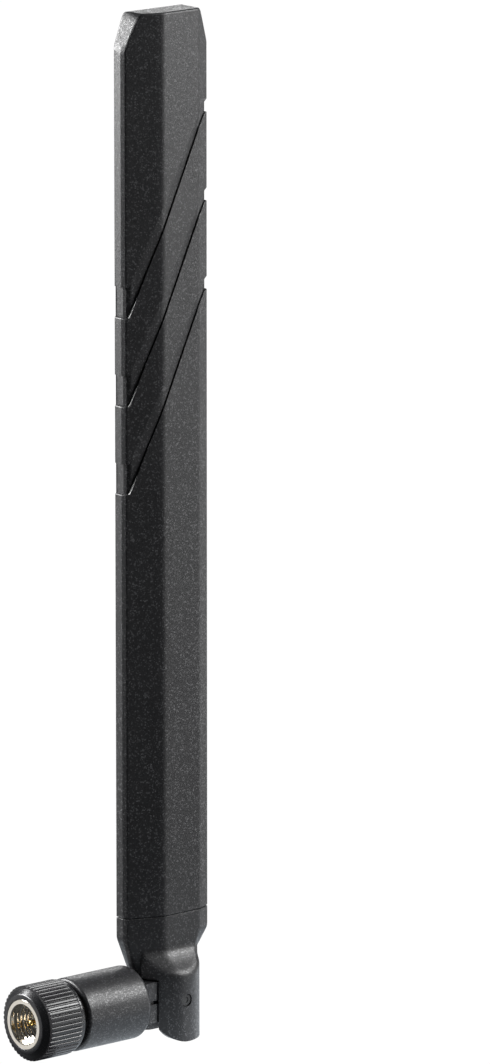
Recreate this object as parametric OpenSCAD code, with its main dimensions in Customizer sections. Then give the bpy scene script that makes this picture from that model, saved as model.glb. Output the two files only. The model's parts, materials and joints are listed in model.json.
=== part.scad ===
// Hinged blade antenna with a screw-on coaxial plug.
// The plug's mouth is at the origin and faces -Y. The arm runs along +Y to a hinge whose axis is
// parallel to X, and the blade stands up from the hinge along +Z. All sizes are in millimetres.

/* [Coupling nut] */
// Diameter over the grip's flutes
grip_d = 12.1; // [10.6:0.1:16]
// Length of the grip, from its front face to its rear rim
grip_l = 8.0; // [7:0.1:12]
// Number of flutes around the grip
flutes = 46; // [24:1:60]
// Depth of one flute
flute_depth = 0.24; // [0.1:0.02:0.4]
// Diameter of the metal insert inside the grip
insert_d = 8.0; // [7.6:0.1:9.4]
// Diameter of the smooth lead-in at the mouth
mouth_d = 6.4; // [6:0.05:6.8]
// Depth of the smooth lead-in
mouth_l = 1.0; // [0.5:0.1:1.2]
// Crest diameter of the internal thread
thread_d = 5.7; // [5.5:0.05:5.9]
// Pitch of the internal thread, 36 turns to the inch
thread_pitch = 0.7056; // [0.5:0.0001:0.8]

/* [Plug] */
// Diameter of the free end of the centre contact
contact_d = 0.914; // [0.8:0.01:1.1]
// How far the contact's tip sits inside the mouth
contact_recess = 1.25; // [1.1:0.05:2]
// How far the plug's mating face sits inside the mouth
face_recess = 3.45; // [3:0.05:4]
// Outer diameter of the plug's front tube
plug_d = 5.2; // [4.8:0.05:5.4]
// Diameter of the insulator
insulator_d = 4.12; // [3.6:0.02:4.3]
// Diameter of the spigot that the arm turns on
spigot_d = 6.4; // [5.6:0.1:8]
// Length of the spigot
spigot_l = 6.5; // [5:0.1:7.5]

/* [Arm] */
// Diameter of the arm
arm_d = 11.8; // [9.8:0.1:15]
// Length of the arm's round body
arm_l = 12.95; // [12:0.1:20]
// Chamfer at both rims of the arm
arm_rim = 0.5; // [0.2:0.05:0.8]
// Width of the tongue, along the hinge axis
tongue_w = 6.8; // [5.6:0.1:8]
// Height of the tongue
tongue_h = 6.6; // [5.6:0.1:7.6]

/* [Hinge] */
// Distance from the arm's rear rim to the hinge axis
hinge_reach = 7.3; // [7.1:0.1:10]
// Diameter of the hinge pins
hinge_pin_d = 2.1; // [1.6:0.05:2.8]
// How far the pins sit below the outside of the ears
pin_sunk = 0.25; // [0.1:0.05:0.5]
// Gap on each side between the tongue and the ears
tongue_gap = 0.25; // [0.15:0.05:0.5]

/* [Yoke] */
// Diameter of the yoke's round neck
neck_d = 11.2; // [10.4:0.1:13]
// How far the ears reach below the hinge axis
ear_drop = 6.8; // [6:0.1:6.9]
// Radius of the ears' lower front corner
ear_round = 6.0; // [4:0.1:6.2]
// Height of the neck's top above the hinge axis
neck_top = 4.2; // [4.1:0.1:6]
// Height at which the flat front of the blade turns into the scoop
scoop_top = 8.0; // [7:0.1:9]
// Height at which the yoke reaches the full width of the blade
block_bottom = 10.1; // [9.2:0.1:12]
// Height of the seam between the yoke and the radome
seam_z = 13.55; // [13:0.05:18]
// How far the yoke's tenon reaches into the radome
tenon_l = 6.0; // [3:0.1:10]

/* [Blade] */
// Height of the blade's top above the hinge axis
blade_top = 158.4; // [110:0.1:200]
// Width of the blade
blade_w = 16.0; // [13:0.1:22]
// Thickness of the blade
blade_t = 4.95; // [4.1:0.05:7]
// Thickness of the blade's narrow edge
thin_edge_t = 1.755; // [1.5:0.005:2.5]
// Width and rise of the small corner on the narrow edge
nose = [0.3, 0.82]; // [0.1:0.01:1]
// Width of the broad bevel behind the narrow edge
bevel_w = 6.1; // [4:0.1:7]
// Width of the small bevel on the other edge
edge_bevel_w = 2.75; // [1:0.1:3]
// Depth of the small bevel
edge_bevel_t = 1.175; // [0.5:0.005:1.6]
// Width and height of the blade's two cut top corners
top_cut = [2.0, 5.4]; // [0.5:0.1:8]
// Thickness of the blade's closed top
top_wall = 1.5; // [1:0.1:3]

/* [Surface laps] */
// Number of diagonal laps across the front of the blade
laps = 3; // [1:1:5]
// Distance from one lap to the next
lap_pitch = 14.1; // [8:0.1:20]
// Distance of the first lap below the blade's top, at its high end
lap_start = 14.7; // [10:0.1:30]
// How much lower a lap is at the narrow edge of the blade
lap_fall = 28.4; // [15:0.1:40]
// Height of a lap's groove at its high and its low end
lap_gap = [2.05, 4.9]; // [1:0.05:6]
// Length of the level stretch at both ends of a lap
lap_level = 1.1; // [0.5:0.1:2]
// Depth of a lap's groove
lap_depth = 0.37; // [0.1:0.01:0.5]

/* [Cable] */
// Diameter of the cable's jacket
cable_d = 1.37; // [1.13:0.01:1.8]
// Diameter of the braid
braid_d = 1.12; // [0.9:0.01:1.12]
// Diameter of the dielectric
dielectric_d = 0.9; // [0.6:0.01:0.9]
// Diameter of the inner conductor
conductor_d = 0.3; // [0.2:0.01:0.4]
// Radius of the cable's bend through the hinge
bend_r = 4.0; // [3.8:0.1:5]

/* [Circuit board] */
// Thickness of the board
board_t = 0.6; // [0.4:0.1:0.8]
// Thickness of the copper
copper_t = 0.07; // [0.035:0.005:0.1]
// Height of the feed point above the hinge axis
feed_z = 84.0; // [60:0.1:95]
// Width of the copper strip under the cable
strip_w = 2.4; // [2:0.1:3]

/* [Hidden] */
$fn = 96;
eps = 0.05;          // how far a cut runs past the face it opens
run_gap = 0.05;      // radial clearance of every running fit
end_gap = 0.15;      // clearance between faces that turn past each other
slack = 0.5;         // room around the cable

// Along the arm, as distances from the mouth
flute_start = 0.9;
rear_rim_l = 0.5;
shoulder_y = grip_l + end_gap;
shoulder_t = 0.5;
shoulder_d = spigot_d + 2.4;
arm_front = shoulder_y + shoulder_t + end_gap;
arm_rear = arm_front + arm_l;
hinge_y = arm_rear + hinge_reach;
spigot_front = shoulder_y + shoulder_t;
spigot_rear = spigot_front + spigot_l;
barrel_l = 2.6;
barrel_rear = spigot_rear + barrel_l;
jacket_front = barrel_rear + 0.2;
arm_bore_rear = barrel_rear + 1.4;
cable_split = arm_rear - 0.2;

// The coupling nut's inside
thread_turns = 4;
thread_rear = mouth_l + thread_turns * thread_pitch;
relief_d = mouth_d + 0.4;
relief_rear = grip_l - 2.8;
runner_d = plug_d + 0.1;
ring_front = relief_rear + 0.5;
ring_t = 0.5;
ring_slot = ring_t + 2 * 0.1;
ring_in_d = plug_d - 0.4;
ring_out_d = plug_d + 0.8;
insert_rear = grip_l - 0.8;

// The plug's inside
contact_tip_l = 0.3;
contact_body_d = 1.27;
contact_rear = spigot_front + 2.15;
insulator_rear = contact_rear + 0.4;
cup_l = 2.0;

// The swivel's retaining clip
clip_y = spigot_rear - 1.5;
clip_t = 0.6;
clip_slot = clip_t + 2 * 0.1;
clip_in_d = spigot_d - 1.1;
clip_out_d = spigot_d + 1.0;

// The crimp
barrel_in_d = dielectric_d + 2 * run_gap;
barrel_out_d = barrel_in_d + 0.6;
crimp_braid_d = barrel_out_d + braid_d - dielectric_d;
ferrule_wall = 0.5;

// The blade's cavity: its half depth takes half the cable, the copper and the board
cable_r = cable_d / 2;
board_gap = 0.02;
board_front_x = -cable_r - copper_t;
board_back_x = board_front_x - board_t;
cavity_t = 2 * (board_gap - board_back_x);
blade_wall = (blade_t - cavity_t) / 2;
tenon_gap = 0.05;
board_inset = [2.8, blade_wall + 0.5];
board_y = [board_inset[0] - blade_w / 2, blade_w / 2 - board_inset[1]];
board_z = [seam_z + tenon_l - 2, blade_top - top_wall - top_cut[1] - 1];
feed_gap = 2.0;

// The hinge
slot_r = tongue_h / 2 + 0.3;
slot_half_w = tongue_w / 2 + tongue_gap;
cable_slot_w = cable_d + 2 * slack;
pin_inner_x = cable_slot_w / 2 + 0.25;
pin_outer_x = neck_d / 2 - pin_sunk;

function left_of(v) = [-v[1], v[0]] / norm(v);
function inset(points, d) =
    [for (i = [0:len(points) - 1])
        let (n = len(points), p = points[i])
        let (a = left_of(p - points[(i + n - 1) % n]), b = left_of(points[(i + 1) % n] - p))
        p + (a + b) * d / (1 + a * b)];

back_x = -blade_t / 2;
front_x = blade_t / 2;
edge_y = blade_w / 2;

// The section that the cavity is offset from: its bevel runs on until it meets the back
bevel_foot = -edge_y - thin_edge_t * bevel_w / (blade_t - thin_edge_t);
cavity_section = [
    [back_x, bevel_foot], [front_x, bevel_w - edge_y], [front_x, edge_y - edge_bevel_w],
    [front_x - edge_bevel_t, edge_y], [back_x, edge_y],
];

// The blade's outer section
blade_section = [
    [back_x, -edge_y], [back_x + thin_edge_t, -edge_y],
    [back_x + thin_edge_t + nose[1], nose[0] - edge_y],
    [front_x, bevel_w - edge_y], [front_x, edge_y - edge_bevel_w],
    [front_x - edge_bevel_t, edge_y], [back_x, edge_y],
];

// A round bar along Y
module rod_y(d, y0, y1) {
    translate([0, y0, 0]) rotate([-90, 0, 0]) cylinder(d = d, h = y1 - y0);
}

module tube_y(outer_d, inner_d, y0, y1) {
    difference() {
        rod_y(outer_d, y0, y1);
        rod_y(inner_d, y0 - eps, y1 + eps);
    }
}

// A profile of [radius, distance along Y] turned about the Y axis
module turned_y(points) {
    rotate([-90, 0, 0]) rotate_extrude() polygon(points);
}

// A ring about Y with a gap on one side
module open_ring(outer_d, inner_d, y0, thick, gap) {
    difference() {
        tube_y(outer_d, inner_d, y0, y0 + thick);
        translate([-gap / 2, y0 - eps, 0]) cube([gap, thick + 2 * eps, outer_d]);
    }
}

// A round bar along the hinge axis
module rod_hinge(d, x0, x1) {
    translate([x0, hinge_y, 0]) rotate([0, 90, 0]) cylinder(d = d, h = x1 - x0);
}

// A shape drawn in [Y, Z] from the hinge axis, as a plate across X
module side_plate(x0, x1) {
    translate([x0, hinge_y, 0]) rotate([90, 0, 90]) linear_extrude(x1 - x0) children();
}

// A section drawn in [X, Y] from the blade's axis, raised from one height to another
module blade_bar(points, z0, z1) {
    translate([0, hinge_y, z0]) linear_extrude(z1 - z0) polygon(points);
}

module rod_blade(d, z0, z1) {
    translate([0, hinge_y, z0]) cylinder(d = d, h = z1 - z0);
}

module tube_blade(outer_d, inner_d, z0, z1) {
    difference() {
        rod_blade(outer_d, z0, z1);
        rod_blade(inner_d, z0 - eps, z1 + eps);
    }
}

// A flat piece on the board, drawn in [Y, Z]
module on_board(x0, x1, y0, z0, y1, z1) {
    translate([x0, hinge_y + y0, z0]) cube([x1 - x0, y1 - y0, z1 - z0]);
}

// ---- blade ----

// The blade seen from the front, with its two cut top corners
module blade_outline(half_w, z1) {
    polygon([
        [-half_w, 0], [half_w, 0], [half_w, z1 - top_cut[1]], [half_w - top_cut[0], z1],
        [top_cut[0] - half_w, z1], [-half_w, z1 - top_cut[1]],
    ]);
}

// What fits the radome's cavity with the given margin to its outside
module cavity_bar(margin, z0, z1) {
    intersection() {
        blade_bar(inset(cavity_section, margin), z0, z1);
        side_plate(back_x, front_x) blade_outline(edge_y - margin, blade_top - top_wall);
    }
}

// The band of one lap, drawn in [Y, Z], a little wider than the blade
module lap_band(i) {
    high = blade_top - lap_start - i * lap_pitch;
    low = high - lap_fall;
    straight = edge_y - lap_level;
    polygon([
        [edge_y + 1, high], [straight, high], [-straight, low], [-edge_y - 1, low],
        [-edge_y - 1, low - lap_gap[1]], [-straight, low - lap_gap[1]],
        [straight, high - lap_gap[0]], [edge_y + 1, high - lap_gap[0]],
    ]);
}

module lap_core(z0, z1) {
    blade_bar(inset(blade_section, lap_depth), z0, z1);
    translate([back_x - 1, hinge_y - edge_y + lap_depth, z0])
        cube([1 + 2 * lap_depth, blade_w - 2 * lap_depth, z1 - z0]);
}

module radome() {
    color([0.17, 0.17, 0.18]) difference() {
        intersection() {
            blade_bar(blade_section, seam_z, blade_top);
            side_plate(back_x - 1, front_x + 1) blade_outline(edge_y, blade_top);
        }
        cavity_bar(blade_wall, seam_z - eps, blade_top);
        difference() {
            for (i = [0:laps - 1]) side_plate(back_x - 1, front_x + 1) lap_band(i);
            lap_core(seam_z, blade_top);
        }
    }
}

// The yoke seen from the side: square at the back, round at the lower front corner
module ear_outline() {
    round_y = ear_round - neck_d / 2 + 0.1;
    translate([-neck_d / 2, ear_round - ear_drop])
        square([neck_d, neck_top + ear_drop - ear_round]);
    translate([round_y, -ear_drop]) square([neck_d / 2 - round_y, neck_top + ear_drop]);
    translate([round_y, ear_round - ear_drop]) circle(r = ear_round);
}

// The space that the tongue turns in, seen from the side
module slot_outline() {
    far = neck_d;
    circle(r = slot_r);
    translate([-far, -far]) square([far + slot_r, far]);
    translate([-far, -far]) square([far, far + slot_r]);
}

module yoke_flare() {
    shoulder = edge_y - (edge_y - neck_d / 2) * (block_bottom - scoop_top) / (block_bottom - neck_top);
    narrow = [for (p = blade_section) [p[0], p[1] * shoulder / edge_y]];
    hull() {
        blade_bar(blade_section, block_bottom, block_bottom + eps);
        blade_bar(narrow, scoop_top, scoop_top + eps);
    }
    hull() {
        blade_bar(narrow, scoop_top, scoop_top + eps);
        translate([0, hinge_y, neck_top]) cylinder(d = neck_d, h = eps, $fn = 48);
    }
}

module hinge_yoke() {
    color([0.16, 0.16, 0.17]) difference() {
        union() {
            intersection() {
                rod_blade(neck_d, -ear_drop, neck_top + eps);
                side_plate(-neck_d, neck_d) ear_outline();
            }
            yoke_flare();
            blade_bar(blade_section, block_bottom, seam_z);
            cavity_bar(blade_wall + tenon_gap, seam_z - eps, seam_z + tenon_l);
        }
        side_plate(-slot_half_w, slot_half_w) slot_outline();
        rod_hinge(hinge_pin_d, -neck_d, neck_d);
        rod_blade(cable_slot_w, 0, seam_z + tenon_l + eps);
        on_board(board_back_x - board_gap - eps, board_front_x + board_gap,
            board_y[0] - 0.1, board_z[0], board_y[1] + 0.1, seam_z + tenon_l + eps);
    }
}

module hinge_pins() {
    color([0.12, 0.12, 0.12]) {
        rod_hinge(hinge_pin_d, pin_inner_x, pin_outer_x);
        rod_hinge(hinge_pin_d, -pin_outer_x, -pin_inner_x);
    }
}

// ---- arm ----

module arm_body() {
    r = arm_d / 2;
    slit = 0.6;
    slit_depth = 0.5;
    gap_front = hinge_y - bend_r - 1;
    color([0.16, 0.16, 0.17]) difference() {
        union() {
            turned_y([
                [0, arm_front], [r - arm_rim, arm_front], [r, arm_front + arm_rim],
                [r, arm_rear - arm_rim], [r - arm_rim, arm_rear], [0, arm_rear],
            ]);
            translate([-tongue_w / 2, arm_rear - 1, -tongue_h / 2])
                cube([tongue_w, hinge_reach + 1, tongue_h]);
            rod_hinge(tongue_h, -tongue_w / 2, tongue_w / 2);
        }
        rod_y(spigot_d + 2 * run_gap, arm_front - eps, arm_bore_rear);
        rod_y(clip_out_d + 0.2, clip_y, clip_y + clip_slot);
        rod_y(cable_slot_w, arm_bore_rear - eps, gap_front + eps);
        translate([-cable_slot_w / 2, gap_front, -cable_slot_w / 2])
            cube([cable_slot_w, hinge_reach + tongue_h, tongue_h]);
        rod_hinge(hinge_pin_d + 2 * run_gap, -tongue_w, tongue_w);
        for (side = [-1, 1])
            translate([side * tongue_w / 2 - slit_depth, arm_rear, -slit / 2])
                cube([2 * slit_depth, 3.4, slit]);
    }
}

// ---- coupling nut ----

module thread_cut() {
    crest = thread_d / 2;
    root = mouth_d / 2;
    turned_y(concat(
        [[0, mouth_l - eps], [crest, mouth_l - eps]],
        [for (i = [0:thread_turns - 1]) for (step = [[crest, 0.06], [root, 0.5], [crest, 0.94]])
            [step[0], mouth_l + (i + step[1]) * thread_pitch]],
        [[crest, thread_rear + eps], [0, thread_rear + eps]]
    ));
}

module coupling_nut() {
    color([0.82, 0.80, 0.75]) difference() {
        rod_y(insert_d, 0, insert_rear);
        rod_y(mouth_d, -eps, mouth_l);
        thread_cut();
        rod_y(relief_d, thread_rear, relief_rear);
        rod_y(runner_d + 2 * run_gap, relief_rear - eps, insert_rear + eps);
        rod_y(ring_out_d + 0.2, ring_front, ring_front + ring_slot);
    }
}

module grip_sleeve() {
    r = grip_d / 2;
    lip_r = insert_d / 2 + 1.0;
    shoulder_r = r - flute_depth - 0.2;
    flute_r = 0.3;
    rim_r = r - flute_depth - 0.06;
    rear_r = runner_d / 2 + 0.8;
    color([0.15, 0.15, 0.16]) difference() {
        turned_y([
            [insert_d / 2, 0], [lip_r, 0], [shoulder_r, flute_start - 0.05], [r, flute_start],
            [r, grip_l - rear_rim_l],
            [rim_r, grip_l - rear_rim_l], [rim_r, grip_l],
            [rear_r, grip_l], [rear_r, insert_rear], [insert_d / 2, insert_rear],
        ]);
        for (i = [0:flutes - 1])
            rotate([0, i * 360 / flutes, 0])
                translate([r + flute_r - flute_depth, 0, 0])
                    rod_y(2 * flute_r, 0, grip_l - rear_rim_l + eps);
    }
}

// ---- plug ----

module connector_body() {
    color([0.80, 0.77, 0.70]) difference() {
        union() {
            rod_y(plug_d, face_recess, ring_front);
            rod_y(ring_in_d - 0.1, ring_front - eps, ring_front + ring_slot + eps);
            rod_y(runner_d, ring_front + ring_slot, shoulder_y);
            rod_y(shoulder_d, shoulder_y - eps, spigot_front);
            rod_y(spigot_d, spigot_front - eps, spigot_rear);
            rod_y(barrel_out_d, spigot_rear - eps, barrel_rear);
        }
        rod_y(insulator_d, face_recess - eps, insulator_rear);
        rod_y(barrel_in_d, insulator_rear - eps, barrel_rear + eps);
        tube_y(spigot_d + 1, clip_in_d - 0.1, clip_y, clip_y + clip_slot);
    }
}

module insulator() {
    color([0.93, 0.93, 0.90]) difference() {
        rod_y(insulator_d, face_recess, insulator_rear);
        rod_y(contact_body_d, face_recess - eps, contact_rear);
        rod_y(barrel_in_d, contact_rear - eps, insulator_rear + eps);
    }
}

module centre_contact() {
    r = contact_d / 2;
    color([0.90, 0.68, 0.28]) difference() {
        turned_y([
            [0, contact_recess], [r * 0.45, contact_recess], [r, contact_recess + contact_tip_l],
            [r, face_recess], [contact_body_d / 2, face_recess],
            [contact_body_d / 2, contact_rear], [0, contact_rear],
        ]);
        rod_y(conductor_d, contact_rear - cup_l, contact_rear + eps);
    }
}

module nut_snap_ring() {
    color([0.75, 0.75, 0.76]) open_ring(ring_out_d, ring_in_d, ring_front + 0.1, ring_t, 1.6);
}

module swivel_clip() {
    color([0.75, 0.75, 0.76]) open_ring(clip_out_d, clip_in_d, clip_y + 0.1, clip_t, 2.2);
}

module crimp_ferrule() {
    outer = crimp_braid_d / 2 + ferrule_wall;
    tail = cable_r + ferrule_wall;
    color([0.80, 0.77, 0.70]) turned_y([
        [crimp_braid_d / 2, spigot_rear + 0.1], [outer, spigot_rear + 0.1],
        [outer, barrel_rear], [tail, barrel_rear + 0.4], [tail, barrel_rear + 1.1],
        [cable_r, barrel_rear + 1.1], [cable_r, barrel_rear + 0.2],
        [crimp_braid_d / 2, barrel_rear],
    ]);
}

// ---- cable ----

module coax_jacket_lower() {
    color([0.10, 0.10, 0.10]) tube_y(cable_d, braid_d, jacket_front, cable_split);
}

// The braid inside the jacket, opened out over the barrel under the ferrule
module coax_braid_lower() {
    color([0.72, 0.72, 0.72]) turned_y([
        [barrel_out_d / 2, spigot_rear + 0.1], [crimp_braid_d / 2, spigot_rear + 0.1],
        [crimp_braid_d / 2, barrel_rear], [braid_d / 2, jacket_front],
        [braid_d / 2, cable_split], [dielectric_d / 2, cable_split],
        [dielectric_d / 2, jacket_front], [barrel_out_d / 2, barrel_rear],
    ]);
}

module coax_dielectric_lower() {
    color([0.92, 0.92, 0.90]) tube_y(dielectric_d, conductor_d, contact_rear, cable_split);
}

module coax_conductor_lower() {
    color([0.80, 0.72, 0.55]) rod_y(conductor_d, contact_rear - cup_l, cable_split);
}

module coax_bend() {
    bend_start = hinge_y - bend_r;
    color([0.10, 0.10, 0.10]) {
        rod_y(cable_d, cable_split, bend_start);
        translate([0, bend_start, bend_r]) rotate([90, 0, 90]) rotate([0, 0, -90])
            rotate_extrude(angle = 90) translate([bend_r, 0]) circle(d = cable_d);
    }
}

module coax_jacket_upper() {
    color([0.10, 0.10, 0.10]) tube_blade(cable_d, braid_d, bend_r, feed_z - 4);
}

module coax_braid_upper() {
    color([0.72, 0.72, 0.72]) tube_blade(braid_d, dielectric_d, bend_r, feed_z - 1);
}

module coax_dielectric_upper() {
    color([0.92, 0.92, 0.90]) tube_blade(dielectric_d, conductor_d, bend_r, feed_z + 0.4);
}

module coax_conductor_upper() {
    color([0.80, 0.72, 0.55]) rod_blade(conductor_d, bend_r, feed_z + feed_gap + 2);
}

// ---- circuit board ----

module circuit_board() {
    color([0.10, 0.30, 0.18])
        on_board(board_back_x, board_front_x, board_y[0], board_z[0], board_y[1], board_z[1]);
}

module copper(y0, z0, y1, z1) {
    on_board(board_front_x, board_front_x + copper_t, y0, z0, y1, z1);
}

// The grounded half: a strip under the cable and an arm on each side, joined below the feed
module lower_element() {
    margin = 0.5;
    foot = board_z[0] + 8;
    bridge = 4;
    half = strip_w / 2;
    color([0.80, 0.50, 0.25]) {
        copper(-half, foot, half, feed_z);
        copper(board_y[0] + margin, feed_z - bridge, board_y[1] - margin, feed_z);
        copper(board_y[0] + margin, foot + 22, -half - 1, feed_z);
        copper(half + 1, foot + 8, board_y[1] - margin, feed_z);
    }
}

// The live half: a feed pad that opens into a long arm and a short one
module upper_element() {
    margin = 0.5;
    pad_z = feed_z + feed_gap;
    bridge_z = pad_z + 4;
    half = strip_w / 2;
    color([0.80, 0.50, 0.25]) {
        copper(-half, pad_z, half, bridge_z + 3);
        copper(board_y[0] + margin, bridge_z, board_y[1] - margin, bridge_z + 3);
        copper(board_y[0] + margin, bridge_z, -half, bridge_z + 26);
        copper(half, bridge_z, board_y[1] - margin, board_z[1] - 2);
    }
}

// A low mound of solder on the copper, with the wire's own shape left out
module solder(z, r, height, wire_d) {
    color([0.78, 0.78, 0.80]) difference() {
        translate([board_front_x + copper_t, hinge_y, z]) rotate([0, 90, 0])
            rotate_extrude() polygon([
                [0, 0], [r, 0], [r * 0.8, height * 0.5], [r * 0.4, height * 0.9], [0, height],
            ]);
        rod_blade(wire_d, z - 2 * r, z + 2 * r);
    }
}

module solder_ground() {
    solder(feed_z - 2.5, 1.15, 1.0, braid_d);
}

module solder_signal() {
    solder(feed_z + feed_gap + 1.2, 1.1, 1.0, conductor_d);
}

module foam_pads() {
    height = 10;
    for (z = [feed_z + 18, board_z[1] - 16])
        color([0.25, 0.25, 0.27]) on_board(board_front_x + copper_t, cavity_t / 2,
            0, z, edge_y - edge_bevel_w - blade_wall, z + height);
}

radome();
hinge_yoke();
hinge_pins();
arm_body();
coupling_nut();
grip_sleeve();
connector_body();
insulator();
centre_contact();
nut_snap_ring();
swivel_clip();
crimp_ferrule();
coax_jacket_lower();
coax_braid_lower();
coax_dielectric_lower();
coax_conductor_lower();
coax_bend();
coax_jacket_upper();
coax_braid_upper();
coax_dielectric_upper();
coax_conductor_upper();
circuit_board();
lower_element();
upper_element();
solder_ground();
solder_signal();
foam_pads();
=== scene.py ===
import json
import math

import bmesh
import bpy
from mathutils import Matrix, Vector
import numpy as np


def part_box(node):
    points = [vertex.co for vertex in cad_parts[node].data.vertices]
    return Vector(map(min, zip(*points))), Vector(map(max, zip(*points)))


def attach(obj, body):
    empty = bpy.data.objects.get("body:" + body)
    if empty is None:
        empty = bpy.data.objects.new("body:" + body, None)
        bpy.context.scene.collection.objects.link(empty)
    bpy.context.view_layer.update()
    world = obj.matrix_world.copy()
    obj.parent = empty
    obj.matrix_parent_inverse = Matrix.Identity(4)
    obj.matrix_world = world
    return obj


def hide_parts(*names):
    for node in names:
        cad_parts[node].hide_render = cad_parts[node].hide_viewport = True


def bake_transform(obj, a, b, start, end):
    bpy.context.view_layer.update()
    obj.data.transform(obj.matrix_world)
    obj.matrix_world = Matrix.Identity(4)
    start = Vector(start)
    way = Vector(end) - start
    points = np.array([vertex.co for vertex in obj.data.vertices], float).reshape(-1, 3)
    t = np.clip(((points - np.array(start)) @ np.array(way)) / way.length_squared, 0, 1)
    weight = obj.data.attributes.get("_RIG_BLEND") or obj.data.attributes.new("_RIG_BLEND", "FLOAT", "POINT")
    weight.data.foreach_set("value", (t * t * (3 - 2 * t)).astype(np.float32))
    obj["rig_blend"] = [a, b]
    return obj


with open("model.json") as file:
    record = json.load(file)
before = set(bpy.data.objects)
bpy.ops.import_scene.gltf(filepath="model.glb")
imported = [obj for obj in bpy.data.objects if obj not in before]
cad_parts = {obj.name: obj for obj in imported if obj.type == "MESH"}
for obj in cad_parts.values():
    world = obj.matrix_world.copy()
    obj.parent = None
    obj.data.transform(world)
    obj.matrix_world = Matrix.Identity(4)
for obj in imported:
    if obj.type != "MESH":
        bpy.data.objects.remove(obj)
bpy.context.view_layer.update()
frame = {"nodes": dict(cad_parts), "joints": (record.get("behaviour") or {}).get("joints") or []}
scene = bpy.context.scene
mm = 0.001
print("frame loaded:", len(frame["nodes"]), "solids")


# camera first: a long lens a little above the blade's middle, so that its edges stay nearly parallel
shot = {
    "place": (1080.046, -882.251, 381.677),
    "aim": (-0.74116, 0.63699, -0.21196),
    "lens": 310.46,
    "sensor": 36.0,
}


def addCamera():
    data = bpy.data.cameras.new("studioCamera")
    data.lens = shot["lens"]
    data.sensor_fit = "AUTO"
    data.sensor_width = shot["sensor"]
    data.clip_end = 50.0
    camera = bpy.data.objects.new("studioCamera", data)
    camera.location = Vector(shot["place"]) * mm
    camera.rotation_euler = Vector(shot["aim"]).to_track_quat("-Z", "Y").to_euler()
    scene.collection.objects.link(camera)
    scene.camera = camera


addCamera()


# sizes that several pieces share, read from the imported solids, in millimetres
def cornersOf(node):
    low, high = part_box(node)
    return low / mm, high / mm


hingeY = next(j for j in frame["joints"] if j["name"] == "blade_tilt")["pos_m"][1] / mm
bladeLow, bladeHigh = cornersOf("radome")
yokeLow, yokeHigh = cornersOf("hinge_yoke")
armLow, armHigh = cornersOf("arm_body")
gripLow, gripHigh = cornersOf("grip_sleeve")
nutLow, nutHigh = cornersOf("coupling_nut")
pinLow, pinHigh = cornersOf("hinge_pins")
backX, frontX = bladeLow.x, bladeHigh.x
edgeY = (bladeHigh.y - bladeLow.y) / 2
seamZ, topZ = bladeLow.z, bladeHigh.z
cableR = (cornersOf("coax_bend")[1].x - cornersOf("coax_bend")[0].x) / 2
cableSlot = 2 * cableR + 1.0


# steps that several pieces share
def vertsOf(geometry):
    return [g for g in geometry if isinstance(g, bmesh.types.BMVert)]


def edgesWithin(verts):  # edges whose two ends are both in this set
    chosen = set(verts)
    return list(dict.fromkeys(e for v in verts for e in v.link_edges if e.other_vert(v) in chosen))


def openEdges(bm):
    return [e for e in bm.edges if len(e.link_faces) < 2]


def toMesh(bm, name):
    bmesh.ops.remove_doubles(bm, verts=bm.verts, dist=0.0005)
    bmesh.ops.recalc_face_normals(bm, faces=bm.faces)
    bmesh.ops.scale(bm, vec=(mm, mm, mm), verts=bm.verts)
    mesh = bpy.data.meshes.new(name)
    bm.to_mesh(mesh)
    bm.free()
    piece = bpy.data.objects.new(name, mesh)
    scene.collection.objects.link(piece)
    return piece


def carve(piece, tools, operation="DIFFERENCE"):  # tools are used up
    for tool in tools:
        cut = piece.modifiers.new("cut", "BOOLEAN")
        cut.operation = operation
        cut.solver = "EXACT"
        cut.object = tool
        evaluated = piece.evaluated_get(bpy.context.evaluated_depsgraph_get())
        mesh = bpy.data.meshes.new_from_object(evaluated)
        piece.modifiers.clear()
        piece.data = mesh
        bpy.data.objects.remove(tool)
    return piece


def closeSlivers(piece, width=0.02):  # takes out edges shorter than this, and closes what they leave open
    bm = bmesh.new()
    bm.from_mesh(piece.data)
    bmesh.ops.dissolve_degenerate(bm, edges=bm.edges, dist=width * mm)
    bmesh.ops.holes_fill(bm, edges=openEdges(bm), sides=4)
    bm.to_mesh(piece.data)
    bm.free()


def softenEdges(piece, width, sharpest=32.0, segments=2):
    soften = piece.modifiers.new("soften", "BEVEL")
    soften.limit_method = "ANGLE"
    soften.angle_limit = math.radians(sharpest)
    soften.width = width * mm
    soften.segments = segments
    soften.miter_outer = "MITER_ARC"


def finishPiece(piece, body, material, replaced, smoothTo=33.0):
    piece.data.shade_smooth()
    piece.data.set_sharp_from_angle(angle=math.radians(smoothTo))
    weigh = piece.modifiers.new("weigh", "WEIGHTED_NORMAL")
    weigh.keep_sharp = True
    piece.data.materials.clear()
    piece.data.materials.append(material)
    if body:
        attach(piece, body)
    if replaced:
        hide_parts(*replaced)
    return piece


# A flat face from corners given as (first, second, rounding), drawn in XY or in YZ
def roundedFace(bm, corners, plane="xy", level=0.0, segments=6):
    if plane == "xy":
        points = [(a, b, level) for a, b, _ in corners]
    else:
        points = [(level, a, b) for a, b, _ in corners]
    verts = [bm.verts.new(p) for p in points]
    bm.faces.new(verts)
    count = len(verts)
    directions = [(verts[(i + 1) % count].co - verts[i].co).normalized() for i in range(count)]
    for i, (a, b, radius) in enumerate(corners):
        if radius <= 0:
            continue
        turn = directions[i - 1].angle(directions[i])
        steps = max(2, math.ceil(segments * turn / (math.pi / 2)))
        bmesh.ops.bevel(bm, geom=[verts[i]], offset=radius * math.tan(turn / 2), offset_type="OFFSET",
                        affect="VERTICES", segments=steps, profile=0.5, clamp_overlap=False, material=-1)
    bm.normal_update()
    return bm.faces[:][0]


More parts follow.
